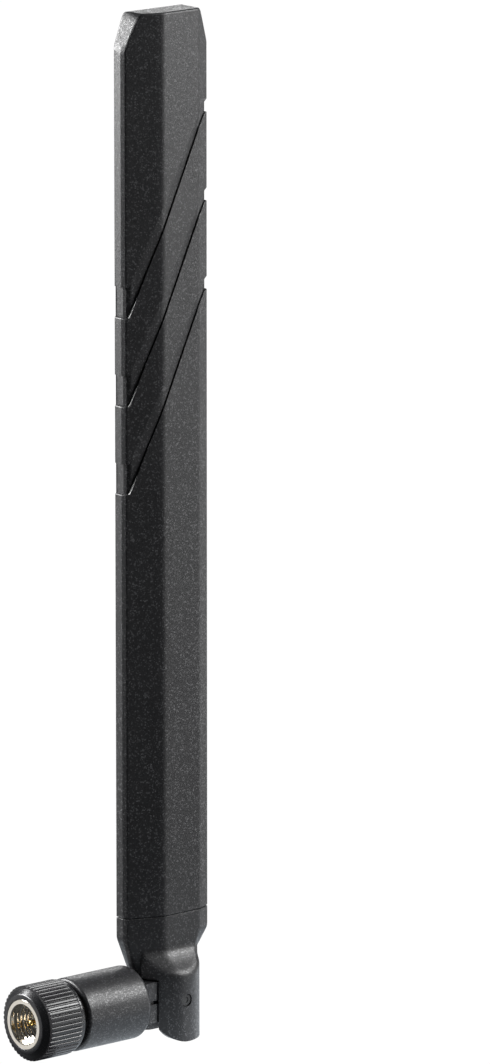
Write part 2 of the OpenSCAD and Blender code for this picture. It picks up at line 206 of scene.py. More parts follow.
# A plate drawn in [Y, Z] and spread from x0 to x1
def sidePlate(corners, x0, x1, segments=12):
    bm = bmesh.new()
    face = roundedFace(bm, corners, plane="yz", level=x0, segments=segments)
    grown = bmesh.ops.extrude_face_region(bm, geom=[face])["geom"]
    bmesh.ops.translate(bm, vec=(x1 - x0, 0, 0), verts=vertsOf(grown))
    return toMesh(bm, "tool")


def blockTool(low, high):
    bm = bmesh.new()
    bmesh.ops.create_cube(bm, size=1.0)
    bmesh.ops.scale(bm, vec=Vector(high) - Vector(low), verts=bm.verts)
    bmesh.ops.translate(bm, vec=(Vector(high) + Vector(low)) / 2, verts=bm.verts)
    return toMesh(bm, "tool")


# A round tool with the given axis, from one end to the other
def roundTool(radius, start, end, segments=48):
    start, end = Vector(start), Vector(end)
    bm = bmesh.new()
    turn = (end - start).to_track_quat("Z", "Y").to_matrix().to_4x4()
    place = Matrix.Translation((start + end) / 2) @ turn
    bmesh.ops.create_cone(bm, cap_ends=True, segments=segments, radius1=radius, radius2=radius,
                          depth=(end - start).length, matrix=place)
    return toMesh(bm, "tool")


# A profile of (radius, distance) turned about an axis; closed profiles make a ring
def turned(bm, profile, axis=(0, 1, 0), centre=(0, 0, 0), steps=96, closed=True):
    axis = Vector(axis)
    side = Vector((1, 0, 0)) if abs(axis.x) < 0.5 else Vector((0, 1, 0))
    verts = [bm.verts.new(Vector(centre) + side * r + axis * d) for r, d in profile]
    pairs = list(zip(verts, verts[1:])) + ([(verts[-1], verts[0])] if closed else [])
    edges = [bm.edges.new(pair) for pair in pairs]
    bmesh.ops.spin(bm, geom=verts + edges, cent=centre, axis=axis, angle=2 * math.pi,
                   steps=steps, use_merge=True)
    bmesh.ops.remove_doubles(bm, verts=bm.verts, dist=0.0005)
    bmesh.ops.dissolve_degenerate(bm, edges=bm.edges, dist=0.0001)
    return bm


# Corner points of a profile with the marked ones rounded into short arcs
def roundProfile(points, steps=4):
    made = []
    for i, point in enumerate(points):
        if len(point) == 2:
            made.append(point)
            continue
        here, radius = Vector(point[:2]), point[2]
        before = (Vector(points[i - 1][:2]) - here).normalized()
        after = (Vector(points[(i + 1) % len(points)][:2]) - here).normalized()
        reach = radius / math.tan(before.angle(after) / 2)
        first, last = here + before * reach, here + after * reach
        middle = here + (before + after).normalized() * radius / math.sin(before.angle(after) / 2)
        start, turn = first - middle, (first - middle).angle(last - middle)
        sign = 1 if start.x * (last - middle).y - start.y * (last - middle).x > 0 else -1
        for k in range(steps + 1):
            made.append(tuple(middle + Matrix.Rotation(sign * turn * k / steps, 2) @ start))
    return made


# shader groups, built once and placed in each material with its own values
def addGroup(name, inputs, outputs):
    group = bpy.data.node_groups.new(name, "ShaderNodeTree")
    for label, value in inputs:
        socket = group.interface.new_socket(label, in_out="INPUT", socket_type="NodeSocketFloat")
        socket.default_value = value
    for label in outputs:
        group.interface.new_socket(label, in_out="OUTPUT", socket_type="NodeSocketFloat")
    nodes = group.nodes
    return group, nodes.new("NodeGroupInput"), nodes.new("NodeGroupOutput")


def mathNode(tree, operation, first, second=None, clamp=False):
    node = tree.nodes.new("ShaderNodeMath")
    node.operation = operation
    node.use_clamp = clamp
    for socket, value in zip(node.inputs, (first, second)):
        if value is None:
            continue
        if isinstance(value, (int, float)):
            socket.default_value = value
        else:
            tree.links.new(value, socket)
    return node.outputs[0]


def noiseNode(tree, vector, scale, detail=2.0, rough=0.5):
    node = tree.nodes.new("ShaderNodeTexNoise")
    node.inputs["Detail"].default_value = detail
    node.inputs["Roughness"].default_value = rough
    tree.links.new(vector, node.inputs["Vector"])
    if isinstance(scale, (int, float)):
        node.inputs["Scale"].default_value = scale
    else:
        tree.links.new(scale, node.inputs["Scale"])
    return node.outputs[0]


# Fine spark-eroded grain of a moulded surface: a height, specks, and a slow cloud over them; the specks are
# smoother, and the plastics paint them pale as painted glints
def buildMouldGrain():
    group, given, out = addGroup("mouldGrain", [("Grain", 4200.0), ("Cloud", 160.0), ("Specks", 0.6)],
                                 ["Height", "Specks", "Cloud"])
    place = group.nodes.new("ShaderNodeTexCoord").outputs["Object"]
    fine = noiseNode(group, place, given.outputs["Grain"], 3.0, 0.6)
    coarse = noiseNode(group, place, mathNode(group, "MULTIPLY", given.outputs["Grain"], 0.37), 2.0, 0.55)
    height = mathNode(group, "ADD", fine, mathNode(group, "MULTIPLY", coarse, 0.8))
    group.links.new(height, out.inputs["Height"])
    cells = group.nodes.new("ShaderNodeTexVoronoi")
    group.links.new(place, cells.inputs["Vector"])
    group.links.new(mathNode(group, "MULTIPLY", given.outputs["Grain"], 1.3), cells.inputs["Scale"])
    split = group.nodes.new("ShaderNodeSeparateColor")
    group.links.new(cells.outputs["Color"], split.inputs[0])
    chosen = mathNode(group, "GREATER_THAN", split.outputs[0], given.outputs["Specks"])
    group.links.new(mathNode(group, "MULTIPLY", chosen, split.outputs[1]), out.inputs["Specks"])
    group.links.new(noiseNode(group, place, given.outputs["Cloud"], 3.0, 0.6), out.inputs["Cloud"])
    return group


# Turning marks round the plug's axis: rings on faces, hoops on walls
def buildTurningMarks():
    group, given, out = addGroup("turningMarks", [("Density", 9000.0)], ["Height", "Tone"])
    place = group.nodes.new("ShaderNodeTexCoord").outputs["Object"]
    split = group.nodes.new("ShaderNodeSeparateXYZ")
    group.links.new(place, split.inputs[0])
    square = mathNode(group, "ADD", mathNode(group, "MULTIPLY", split.outputs[0], split.outputs[0]),
                      mathNode(group, "MULTIPLY", split.outputs[2], split.outputs[2]))
    join = group.nodes.new("ShaderNodeCombineXYZ")
    group.links.new(mathNode(group, "SQRT", square), join.inputs[0])
    group.links.new(split.outputs[1], join.inputs[1])
    rings = noiseNode(group, join.outputs[0], given.outputs["Density"], 2.0, 0.7)
    group.links.new(rings, out.inputs["Height"])
    group.links.new(noiseNode(group, place, 700.0, 3.0, 0.6), out.inputs["Tone"])
    return group


# Two sets of fine wires that cross, for braid and woven glass
def buildWeave():
    group, given, out = addGroup("weave", [("Pitch", 6000.0)], ["Height"])
    place = group.nodes.new("ShaderNodeTexCoord").outputs["Object"]
    waves = []
    for turn in (0.7, -0.7):
        aim = group.nodes.new("ShaderNodeMapping")
        aim.inputs["Rotation"].default_value = (turn, turn, turn)
        group.links.new(place, aim.inputs["Vector"])
        wave = group.nodes.new("ShaderNodeTexWave")
        group.links.new(aim.outputs[0], wave.inputs["Vector"])
        group.links.new(given.outputs["Pitch"], wave.inputs["Scale"])
        waves.append(wave.outputs["Fac"])
    group.links.new(mathNode(group, "MAXIMUM", *waves), out.inputs["Height"])
    return group


mouldGrain = buildMouldGrain()
turningMarks = buildTurningMarks()
weave = buildWeave()


def startMaterial(name, roughness, metallic=0.0):
    material = bpy.data.materials.new(name)
    material.use_nodes = True
    tree = material.node_tree
    shader = next(n for n in tree.nodes if n.type == "BSDF_PRINCIPLED")
    shader.inputs["Roughness"].default_value = roughness
    shader.inputs["Metallic"].default_value = metallic
    return material, tree, shader


def useGroup(tree, group, **values):
    node = tree.nodes.new("ShaderNodeGroup")
    node.node_tree = group
    for label, value in values.items():
        node.inputs[label].default_value = value
    return node


# Colours and numbers spread between two ends by a mask
def spreadColour(tree, mask, low, high, start=0.0, end=1.0):
    ramp = tree.nodes.new("ShaderNodeValToRGB")
    ramp.color_ramp.elements[0].position = start
    ramp.color_ramp.elements[1].position = end
    ramp.color_ramp.elements[0].color = (*low, 1.0)
    ramp.color_ramp.elements[1].color = (*high, 1.0)
    tree.links.new(mask, ramp.inputs[0])
    return ramp.outputs[0]


def spreadValue(tree, mask, low, high, start=0.0, end=1.0):
    node = tree.nodes.new("ShaderNodeMapRange")
    for label, value in (("From Min", start), ("From Max", end), ("To Min", low), ("To Max", high)):
        node.inputs[label].default_value = value
    tree.links.new(mask, node.inputs["Value"])
    return node.outputs[0]


def addBump(tree, shader, height, depth):
    bump = tree.nodes.new("ShaderNodeBump")
    bump.inputs["Strength"].default_value = 1.0
    bump.inputs["Distance"].default_value = depth * mm
    tree.links.new(height, bump.inputs["Height"])
    tree.links.new(bump.outputs[0], shader.inputs["Normal"])


# colours and roughness spread between dark and pale, with a pale grey painted on the specks as painted glints
# of the grain; depth is the grain's relief in millimetres
def plasticMaterial(name, dark, pale, roughness, grain, depth, specks, paintedGlint=0.09):
    material, tree, shader = startMaterial(name, roughness)
    texture = useGroup(tree, mouldGrain, Grain=grain, Cloud=160.0, Specks=specks)
    mix = tree.nodes.new("ShaderNodeMix")
    mix.data_type = "RGBA"
    tree.links.new(spreadValue(tree, texture.outputs["Specks"], 0.0, 1.0, 0.45, 1.0), mix.inputs[0])
    tree.links.new(spreadColour(tree, texture.outputs["Cloud"], dark, pale, 0.3, 0.7), mix.inputs[6])
    # painted glints: the specks take a paler grey than the plastic, so they look lit under any lamp
    mix.inputs[7].default_value = (paintedGlint, paintedGlint, paintedGlint * 1.04, 1.0)
    tree.links.new(mix.outputs[2], shader.inputs["Base Color"])
    tree.links.new(spreadValue(tree, texture.outputs["Specks"], roughness, roughness * 0.55),
                   shader.inputs["Roughness"])
    addBump(tree, shader, texture.outputs["Height"], depth)
    return material


def metalMaterial(name, dark, pale, roughness, density, depth):
    material, tree, shader = startMaterial(name, roughness, metallic=1.0)
    texture = useGroup(tree, turningMarks, Density=density)
    tree.links.new(spreadColour(tree, texture.outputs["Tone"], dark, pale, 0.3, 0.7),
                   shader.inputs["Base Color"])
    tree.links.new(spreadValue(tree, texture.outputs["Tone"], roughness * 0.8, roughness * 1.25, 0.3, 0.7),
                   shader.inputs["Roughness"])
    addBump(tree, shader, texture.outputs["Height"], depth)
    return material


# woven takes its height from crossed wires in place of the mould's grain
def softMaterial(name, dark, pale, roughness, grain, depth, woven=False):
    material, tree, shader = startMaterial(name, roughness)
    texture = useGroup(tree, mouldGrain, Grain=grain, Cloud=240.0, Specks=0.9)
    tree.links.new(spreadColour(tree, texture.outputs["Cloud"], dark, pale, 0.3, 0.7),
                   shader.inputs["Base Color"])
    tree.links.new(spreadValue(tree, texture.outputs["Specks"], roughness, roughness * 0.8),
                   shader.inputs["Roughness"])
    height = useGroup(tree, weave, Pitch=grain).outputs[0] if woven else texture.outputs["Height"]
    addBump(tree, shader, height, depth)
    return material


finishes = {
    "blade_plastic": plasticMaterial(
        "bladePlastic", (0.007, 0.007, 0.008), (0.011, 0.011, 0.012), 0.44, 4200.0, 0.026, 0.62),
    "yoke_plastic": plasticMaterial(
        "yokePlastic", (0.007, 0.007, 0.008), (0.011, 0.011, 0.012), 0.44, 4200.0, 0.022, 0.62),
    "arm_plastic": plasticMaterial(
        "armPlastic", (0.008, 0.008, 0.009), (0.013, 0.013, 0.015), 0.44, 4200.0, 0.020, 0.62),
    # the grip's specks get a fainter painted glint
    "grip_plastic": plasticMaterial(
        "gripPlastic", (0.007, 0.007, 0.008), (0.012, 0.012, 0.014), 0.26, 5200.0, 0.006, 0.80, paintedGlint=0.03),
    "pin_plastic": plasticMaterial(
        "pinPlastic", (0.008, 0.008, 0.008), (0.013, 0.013, 0.013), 0.36, 5200.0, 0.006, 0.80),
    "nickel": metalMaterial(
        "nickelPlate", (0.66, 0.61, 0.53), (0.80, 0.76, 0.69), 0.17, 9000.0, 0.0006),
    "gold": metalMaterial(
        "goldPlate", (0.86, 0.55, 0.16), (0.98, 0.70, 0.28), 0.20, 12000.0, 0.002),
    "spring_steel": metalMaterial(
        "springSteel", (0.42, 0.42, 0.43), (0.55, 0.55, 0.56), 0.30, 7000.0, 0.004),
    "tinned_copper": softMaterial(
        "braidedWire", (0.50, 0.50, 0.50), (0.68, 0.68, 0.67), 0.34, 2600.0, 0.040, woven=True),
    "silvered_wire": metalMaterial(
        "silveredWire", (0.78, 0.70, 0.52), (0.88, 0.82, 0.66), 0.22, 8000.0, 0.002),
    "ptfe": softMaterial(
        "whiteFluoropolymer", (0.80, 0.80, 0.77), (0.88, 0.88, 0.86), 0.42, 2500.0, 0.006),
    "cable_jacket": softMaterial(
        "cableJacket", (0.012, 0.012, 0.012), (0.022, 0.022, 0.022), 0.40, 3200.0, 0.008),
    "board": softMaterial(
        "boardLaminate", (0.010, 0.085, 0.035), (0.016, 0.115, 0.050), 0.34, 1700.0, 0.010, woven=True),
    "copper": metalMaterial(
        "copperFoil", (0.62, 0.30, 0.16), (0.80, 0.42, 0.24), 0.32, 6000.0, 0.003),
    "solder": softMaterial(
        "solderAlloy", (0.55, 0.56, 0.58), (0.74, 0.75, 0.77), 0.26, 900.0, 0.020),
    "foam": softMaterial(
        "openFoam", (0.045, 0.045, 0.050), (0.090, 0.090, 0.100), 0.90, 1500.0, 0.160),
}
for shiny in ("tinned_copper", "solder"):
    tree = finishes[shiny].node_tree
    next(n for n in tree.nodes if n.type == "BSDF_PRINCIPLED").inputs["Metallic"].default_value = 1.0
print("materials:", len(finishes))


# the blade's moulded cover
bladeShape = {
    "thinEdge": 1.755,           # thickness of the narrow edge
    "nose": (0.30, 0.82),        # small corner beside the narrow edge, along Y and along X
    "broadBevel": 6.1,           # width of the broad bevel
    "smallBevel": (2.75, 1.175), # width and depth of the bevel on the other edge
    "rounds": (0.36, 0.45, 0.40, 2.3, 1.2, 0.40, 0.40),  # rounding of each corner of the section
    "cuts": (5.2, 5.7, 6.0, 6.3, 6.5, 6.7, 6.9, 7.1, 7.3),  # where points are added across the blade
    "foldCuts": (5.2, 5.7, 6.0, 6.3),  # those beside the two cut corners
    "middleCuts": [-4.4, -3.2, 0.0, 3.2],
    "backSkin": 0.45,            # a lap leaves this much of the back face as it is
    "seamRound": 0.08,           # edge at the seam with the yoke
    "topRound": 0.34,            # edge round the top
    "topCut": (2.0, 5.4),        # width and height of the two cut top corners
    "cutLean": (0.24, 0.04),     # how far each cut leans back towards the front face, narrow edge first
    "leanFrom": 1.0,             # distance from the back face at which that lean starts
    "cutFold": 0.3,              # half the width over which the top turns into a cut corner
    "topWall": 1.5,
    "boardGap": 0.04,            # room between the board and the front wall
}
lapShape = {
    "count": 3, "pitch": 14.1, "start": 14.7, "fall": 28.4,
    "gap": (2.05, 4.9),          # height of a lap's recess at its high and its low end
    "level": 6.9, "soft": 0.8,   # where the sloping stretch ends, and how softly
    "lip": 0.10,                 # small round of the lower edge
    "slotWidth": 0.22, "slotDepth": 0.55,
    "rampDepth": 0.22,           # depth of the slope just above the slot
    "endDepth": (0.48, 0.37),    # depth of the recess in the narrow and in the other edge
    "ends": (6.9, 7.5),          # the recess comes in over this stretch, on both sides
    "narrow": (4.4, 7.4),        # and the slot widens over this one, on the narrow side
    # how far the lower edge has fallen at places across the blade, as a share of the whole fall
    "course": [
        (7.8, 0.0), (7.1, 0.012), (6.5, 0.035), (5.2, 0.080), (-1.9, 0.567), (-4.4, 0.765), (-7.2, 1.0),
    ],
}


def bladeCorners(reach=0.0):  # reach lengthens the bevel down to the back face
    nose, small, rounds = bladeShape["nose"], bladeShape["smallBevel"], bladeShape["rounds"]
    thinX = backX + bladeShape["thinEdge"]
    points = [
        (backX, -edgeY), (thinX, -edgeY), (thinX + nose[1], nose[0] - edgeY),
        (frontX, bladeShape["broadBevel"] - edgeY), (frontX, edgeY - small[0]),
        (frontX - small[1], edgeY), (backX, edgeY),
    ]
    if reach:
        points = [(backX, -edgeY - reach)] + points[3:]
        rounds = (0,) * len(points)
    return [(x, y, r) for (x, y), r in zip(points, rounds)]


def smoothStep(value, start, end):
    t = min(1.0, max(0.0, (value - start) / (end - start)))
    return t * t * (3 - 2 * t)


def softStart(distance, soft):  # zero until nought, then a curve into a straight rise
    if distance <= 0:
        return 0.0
    return distance * distance / (2 * soft) if distance < soft else distance - soft / 2


def softLeast(first, second, soft):  # the smaller of two lengths, with the change between them rounded
    soft = max(1e-6, min(soft, first, second))
    share = min(1.0, max(0.0, 0.5 + 0.5 * (second - first) / soft))
    return second + (first - second) * share - soft * share * (1 - share)


def softClamp(y, level, soft):  # follows y, then flattens out round the level on both sides
    size = abs(y)
    past = min(max(size - (level - soft / 2), 0.0), soft)
    kept = min(size, level - soft / 2) + past - past * past / (2 * soft)
    return math.copysign(kept, y)


# Marks each point of a section with its own place and the way inwards, which extruded copies keep
def markSection(bm, face):
    base = bm.verts.layers.float_vector.new("base")
    inward = bm.verts.layers.float_vector.new("inward")
    loops = face.loops[:]
    for loop in loops:
        here = loop.vert.co
        before = (here - loop.link_loop_prev.vert.co).normalized()
        after = (loop.link_loop_next.vert.co - here).normalized()
        a, b = Vector((-before.y, before.x, 0)), Vector((-after.y, after.x, 0))
        loop.vert[base] = here
        loop.vert[inward] = (a + b) / (1 + a.dot(b))
    return base, inward


def nextRing(bm, edges):
    made = vertsOf(bmesh.ops.extrude_edge_only(bm, edges=edges)["geom"])
    return made, edgesWithin(made)


def bladeTopAt(y, x=backX):
    width, height = bladeShape["topCut"]
    lean = bladeShape["cutLean"][0 if y < 0 else 1]
    past = abs(y) - (edgeY - width) + lean * max(0.0, x - backX - bladeShape["leanFrom"])
    fold = bladeShape["cutFold"]
    if past < -fold:
        return topZ
    if past > fold:
        return topZ - past * height / width
    return topZ - (past + fold) ** 2 / (4 * fold) * height / width


def lapEdges(i, y):  # heights of a lap's upper and lower edge
    share = (softClamp(y, lapShape["level"], lapShape["soft"]) / lapShape["level"] + 1) / 2
    highGap, lowGap = lapShape["gap"]
    course = lapShape["course"]
    fallen = 0.0 if y > 0 else 1.0
    for (y1, fall1), (y2, fall2) in zip(course, course[1:]):
        if y2 <= y <= y1:
            fallen = fall1 + (fall2 - fall1) * (y1 - y) / (y1 - y2)
    high = topZ - lapShape["start"] - i * lapShape["pitch"]
    lower = high - highGap - (lapShape["fall"] + lowGap - highGap) * fallen
    return lower + lowGap + (highGap - lowGap) * share, lower


def lapRings(i):  # each ring gives, at a point across the blade, its depth and its height
    lip, slotWidth = lapShape["lip"], lapShape["slotWidth"]

    def atEnds(y):
        return smoothStep(abs(y), *lapShape["ends"])

    def atNarrow(y):
        return smoothStep(-y, *lapShape["narrow"])

    def endDepth(y):
        return lapShape["endDepth"][0 if y < 0 else 1]

    def depthOf(part, y):
        return lapShape[part] + (endDepth(y) - lapShape[part]) * max(atEnds(y), atNarrow(y))

    return [
        lambda y: (0.0, lapEdges(i, y)[1] - lip - 0.15 * atNarrow(y)),
        lambda y: (0.05 + 0.04 * atNarrow(y), lapEdges(i, y)[1] - 0.02 - 0.04 * atNarrow(y)),
        lambda y: (depthOf("slotDepth", y), lapEdges(i, y)[1] + 0.02 + 0.08 * atNarrow(y)),
        lambda y: (depthOf("slotDepth", y), lapEdges(i, y)[1] + slotWidth),
        lambda y: (depthOf("rampDepth", y), lapEdges(i, y)[1] + slotWidth + 0.05),
        lambda y: (endDepth(y) * atEnds(y), lapEdges(i, y)[0] - 0.12),
        lambda y: (0.0, lapEdges(i, y)[0]),
    ]


# The blade's section drawn in by a wall, with its bevel run on to the back and cut square at both edges
def hollowSection(bm, wall):
    thin = bladeShape["thinEdge"]
    roundedFace(bm, bladeCorners(reach=thin * bladeShape["broadBevel"] / (frontX - backX - thin)))
    rim = bmesh.ops.inset_region(bm, faces=bm.faces[:], thickness=wall, use_even_offset=True,
                                 use_boundary=True)["faces"]
    bmesh.ops.delete(bm, geom=rim, context="FACES")
    for side in (-1, 1):
        bmesh.ops.bisect_plane(bm, geom=bm.verts[:] + bm.edges[:] + bm.faces[:], clear_outer=True,
                               plane_co=(0, side * (edgeY - wall), 0), plane_no=(0, side, 0))


def dropLayers(bm):
    for label in ("base", "inward"):
        bm.verts.layers.float_vector.remove(bm.verts.layers.float_vector[label])


def buildRadome():
    bm = bmesh.new()
    roundedFace(bm, bladeCorners())
    cuts = [side * y for side in (-1, 1) for y in bladeShape["cuts"]] + bladeShape["middleCuts"]
    for y in cuts:
        bmesh.ops.bisect_plane(bm, geom=bm.verts[:] + bm.edges[:], plane_co=(0, y, 0), plane_no=(0, 1, 0))
    face = bm.faces[:][0]
    base, inward = markSection(bm, face)
    bmesh.ops.delete(bm, geom=[face], context="FACES_ONLY")
    back = backX + bladeShape["backSkin"]

    def place(verts, levelAt, groove):
        for v in verts:
            home, way = v[base], v[inward]
            depth, height = levelAt(home.y)
            if groove and home.x < back:
                way = Vector((0, way.y, 0))
            v.co = Vector((home.x + way.x * depth, home.y + way.y * depth, height))

    seamRound = bladeShape["seamRound"]
    ring, edges = bm.verts[:], bm.edges[:]
    place(ring, lambda y: (seamRound, seamZ), False)
    firstEdges = edges
    for step in (0.55, 1.0):
        inset = seamRound * (1 - math.sin(step * math.pi / 2))
        rise = seamRound * (1 - math.cos(step * math.pi / 2))
        ring, edges = nextRing(bm, edges)
        place(ring, lambda y: (inset, seamZ + rise), False)
    for i in reversed(range(lapShape["count"])):
        for levelAt in lapRings(i):
            ring, edges = nextRing(bm, edges)
            place(ring, levelAt, True)
    rounding = bladeShape["topRound"]
    for k in range(5):
        angle = k * math.pi / 8
        inset, drop = rounding * (1 - math.cos(angle)), rounding * (1 - math.sin(angle))
        ring, edges = nextRing(bm, edges)
        for v in ring:
            spot = v[base] + v[inward] * inset
            v.co = Vector((spot.x, spot.y, bladeTopAt(spot.y, spot.x) - drop))
    bmesh.ops.contextual_create(bm, geom=edges)
    for side in (-1, 1):
        for y in bladeShape["foldCuts"]:
            pair = [v for v in ring if abs(v[base].y - side * y) < 0.01]
            bmesh.ops.connect_verts(bm, verts=pair)

    # the hollow inside, with walls that leave room for the board
    wall = (frontX - backX - (cornersOf("circuit_board")[0].x * -2 + bladeShape["boardGap"])) / 2
    hollow = bmesh.new()
    hollowSection(hollow, wall)
    corners = [v.co.copy() for v in hollow.faces[:][0].verts]
    hollow.free()
    loop = [bm.verts.new((p.x, p.y, seamZ)) for p in corners]
    floorFace = bm.faces.new(loop)
    innerEdges = floorFace.edges[:]
    raised = vertsOf(bmesh.ops.extrude_face_region(bm, geom=[floorFace])["geom"])
    bmesh.ops.translate(bm, vec=(0, 0, topZ - bladeShape["topWall"] - seamZ), verts=raised)
    if floorFace.is_valid:
        bmesh.ops.delete(bm, geom=[floorFace], context="FACES_ONLY")
    inner = [v for v in bm.verts if v in set(raised) or v in set(loop)]
    width, height = bladeShape["topCut"]
    innerGeometry = inner + list(dict.fromkeys(e for v in inner for e in v.link_edges))
    innerGeometry += list(dict.fromkeys(f for v in inner for f in v.link_faces))
    for side in (-1, 1):
        spot = Vector((0, side * (edgeY - width - wall * 0.6), topZ - bladeShape["topWall"]))
        cut = bmesh.ops.bisect_plane(bm, geom=innerGeometry, plane_co=spot,
                                     plane_no=(0, side * height, width), clear_outer=True)
        innerGeometry = [g for g in cut["geom"] if g.is_valid]
        rimEdges = [g for g in cut["geom_cut"]
                    if isinstance(g, bmesh.types.BMEdge) and len(g.link_faces) == 1]
        filled = bmesh.ops.contextual_create(bm, geom=rimEdges)["faces"]
        innerGeometry = [g for g in innerGeometry if g.is_valid] + filled
    bmesh.ops.bridge_loops(bm, edges=[e for e in firstEdges + innerEdges if e.is_valid])
    dropLayers(bm)
    bmesh.ops.translate(bm, vec=(0, hingeY, 0), verts=bm.verts)
    radome = toMesh(bm, "bladeRadome")
    return finishPiece(radome, "blade", finishes["blade_plastic"], ["radome"])


buildRadome()
print("blade built")


# the lower cover of the blade, with its neck, scoops and two ears
yokeShape = {
    "neckR": 5.6,
    "blockBottom": 10.5,                 # the block keeps the blade's section down to here
    "sideEnd": (2.0, 6.0),               # where the narrow and the other edge have come in to the neck
    "sideTurn": 4.0,                     # the one turns into the other over this distance from the middle
    "sideSoft": 0.9,                     # how softly both start
    "scoopTop": 8.0, "scoopEnd": 4.5,    # the scoop cut in the neck under the flat faces
    "scoopOut": 3.125, "scoopCurve": 1.5, "scoopSoft": 0.9,
    "levels": 28, "levelsEnd": 1.8,      # rings between the block and the plain neck
    "facet": 0.32,                       # longest side of a face round the section
    # where each corner of the blade lands on the round neck, in degrees from the front
    "landing": (-125, -97, -88, -15, 38, 60, 118),
    "seamGap": 0.15, "seamDepth": 0.32,  # the dark line where the radome stands on the yoke
    "drop": 6.8,                         # how far the ears reach below the hinge
    "frontRound": 6.0, "frontReach": 5.5, "backRound": 1.0,
    "earTop": 4.0,                       # the ears' outline is left alone above here
    "slotR": 3.6, "slotHalf": 3.65,      # the slot that the tongue turns in
    "tenon": 6.0, "tenonGap": 1.15,
    "pinR": 1.05,
}


def buildYoke():
    neckR = yokeShape["neckR"]
    bm = bmesh.new()
    face = roundedFace(bm, bladeCorners())
    for e in face.edges[:]:
        if e.calc_length() > 0.5:
            bmesh.ops.subdivide_edges(bm, edges=[e], cuts=int(e.calc_length() / yokeShape["facet"]))
    face = bm.faces[:][0]
    angle = bm.verts.layers.float.new("angle")
    base, inward = markSection(bm, face)
    landing = yokeShape["landing"]
    corners = [Vector((x, y, 0)) for x, y, _ in bladeCorners()]
    ring = [l.vert for l in face.loops]
    at = [min(range(len(ring)), key=lambda k: (ring[k].co - c).length) for c in corners]
    if sum((b - a) % len(ring) for a, b in zip(at, at[1:])) > len(ring):
        ring.reverse()
        at = [len(ring) - 1 - a for a in at]
    for k, start in enumerate(at):
        end, low = at[(k + 1) % len(at)], landing[k]
        high = landing[k + 1] if k + 1 < len(at) else landing[0] + 360
        span = [ring[(start + n) % len(ring)] for n in range((end - start) % len(ring) + 1)]
        lengths = [0.0]
        for a, b in zip(span, span[1:]):
            lengths.append(lengths[-1] + (b.co - a.co).length)
        for v, length in zip(span[:-1], lengths):
            v[angle] = math.radians(low + (high - low) * length / lengths[-1])
    bmesh.ops.delete(bm, geom=[face], context="FACES_ONLY")

    # the block narrows to the neck, and the neck stands out of it below the scoop
    def place(verts, height, inset=0.0):
        r, block = neckR - inset, yokeShape["blockBottom"]
        fall = max(0.0, yokeShape["scoopTop"] - height) / (yokeShape["scoopTop"] - yokeShape["scoopEnd"])
        out = yokeShape["scoopOut"] * fall ** yokeShape["scoopCurve"]
        for v in verts:
            flat = v[base] + v[inward] * inset
            low, high = yokeShape["sideEnd"]
            sideEnd = low + (high - low) * smoothStep(flat.y, -yokeShape["sideTurn"], yokeShape["sideTurn"])
            sideRun = block - sideEnd - yokeShape["sideSoft"] / 2
            side = min(1.0, softStart(block - height, yokeShape["sideSoft"]) / sideRun)
            y = flat.y + (r * math.sin(v[angle]) - flat.y) * side
            neckX = r * math.cos(v[angle])
            blockX = flat.x + (math.copysign(min(abs(flat.x), abs(neckX)), neckX) - flat.x) * side
            roundX = math.copysign(math.sqrt(max(0.0, r * r - y * y)), neckX) if abs(y) < r else blockX
            if neckX > 0:
                x = blockX + softLeast(max(0.0, roundX - blockX), out, yokeShape["scoopSoft"])
            else:
                x = blockX - softLeast(max(0.0, blockX - roundX), out, yokeShape["scoopSoft"])
            v.co = Vector((x, y, height))

    verts, edges = bm.verts[:], bm.edges[:]
    gap, depth = yokeShape["seamGap"], yokeShape["seamDepth"]
    place(verts, seamZ, depth)
    bmesh.ops.contextual_create(bm, geom=edges)
    edges = [e for e in edges if e.is_valid]
    levels = [(seamZ - gap, depth), (seamZ - gap - 0.02, 0.05), (seamZ - gap - 0.07, 0.0),
              (yokeShape["blockBottom"] + 0.2, 0.0)]
    steps, top, bottom = yokeShape["levels"], yokeShape["blockBottom"], yokeShape["levelsEnd"]
    levels += [(top + (bottom - top) * k / steps, 0.0) for k in range(steps + 1)]
    levels += [(0.0, 0.0), (-yokeShape["drop"] - 1.0, 0.0)]
    for height, inset in levels:
        verts, edges = nextRing(bm, edges)
        place(verts, height, inset)
    bmesh.ops.contextual_create(bm, geom=edges)
    dropLayers(bm)
    bm.verts.layers.float.remove(bm.verts.layers.float["angle"])
    bmesh.ops.translate(bm, vec=(0, hingeY, 0), verts=bm.verts)
    return toMesh(bm, "hingeYoke")


def trimYoke(yoke):
    far = 30.0  # past everything
    front, back = hingeY - yokeShape["frontReach"], hingeY + yokeShape["neckR"] + 0.01
    low, top = -yokeShape["drop"], yokeShape["earTop"]
    outline = [
        (front, low, yokeShape["frontRound"]), (back, low, yokeShape["backRound"]), (back, top, 0),
        (hingeY + far, top, 0), (hingeY + far, far, 0), (hingeY - far, far, 0), (hingeY - far, top, 0),
        (front, top, 0),
    ]
    carve(yoke, [sidePlate(outline, -far, far)], "INTERSECT")
    half, slotR = yokeShape["slotHalf"], yokeShape["slotR"]
    slot = [
        (hingeY - far, -far, 0), (hingeY + slotR, -far, 0), (hingeY + slotR, slotR, slotR),
        (hingeY - far, slotR, 0),
    ]
    carve(yoke, [
        sidePlate(slot, -half, half),
        roundTool(yokeShape["pinR"], (-far, hingeY, 0), (far, hingeY, 0)),
        roundTool(cableSlot / 2, (0, hingeY, 0), (0, hingeY, far)),
    ])
    closeSlivers(yoke)
    softenEdges(yoke, 0.16, sharpest=38.0)
    return finishPiece(yoke, "blade", finishes["yoke_plastic"], ["hinge_yoke"],
                       smoothTo=38.0)


